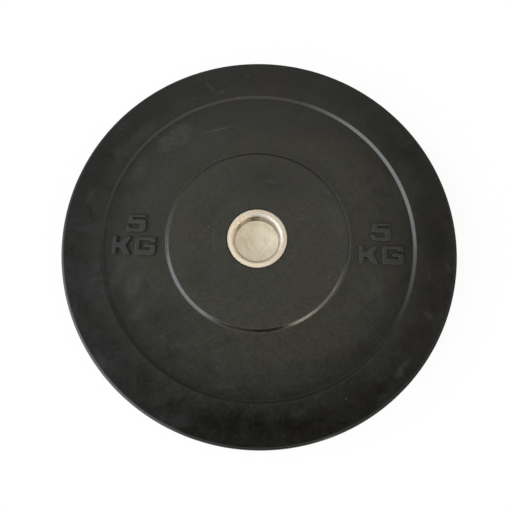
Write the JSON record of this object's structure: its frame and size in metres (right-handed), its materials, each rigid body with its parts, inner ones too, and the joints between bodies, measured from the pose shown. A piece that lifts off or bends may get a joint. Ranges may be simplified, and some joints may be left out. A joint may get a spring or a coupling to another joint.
{
  "type": "bumper plate",
  "caption": "Round black rubber bumper plate for a barbell, alike on both faces: wide rim, sunk dish and flat hub, with flanged stainless bushes lining a central bore.",
  "frame": {"origin": "middle of the bore, half way through the plate's thickness", "axes": "+Z along the bar's axis, out of the front face that the picture shows; +X towards the raised figures on the right of the picture, +Y towards the picture's top"},
  "size_m": [0.45, 0.45, 0.025],
  "materials": {
    "black_rubber": "matt moulded rubber with pale handling marks",
    "stainless": "fine turned, lightly stained",
    "tube_steel": "plain drawn tube",
    "plated_steel": "zinc plated sheet"
  },
  "bodies": {
    "root": {"rubber_body": "black_rubber", "core_sleeve": "tube_steel", "anchor_ring": "plated_steel", "front_bush": "stainless", "rear_bush": "stainless"}
  },
  "joints": []
}
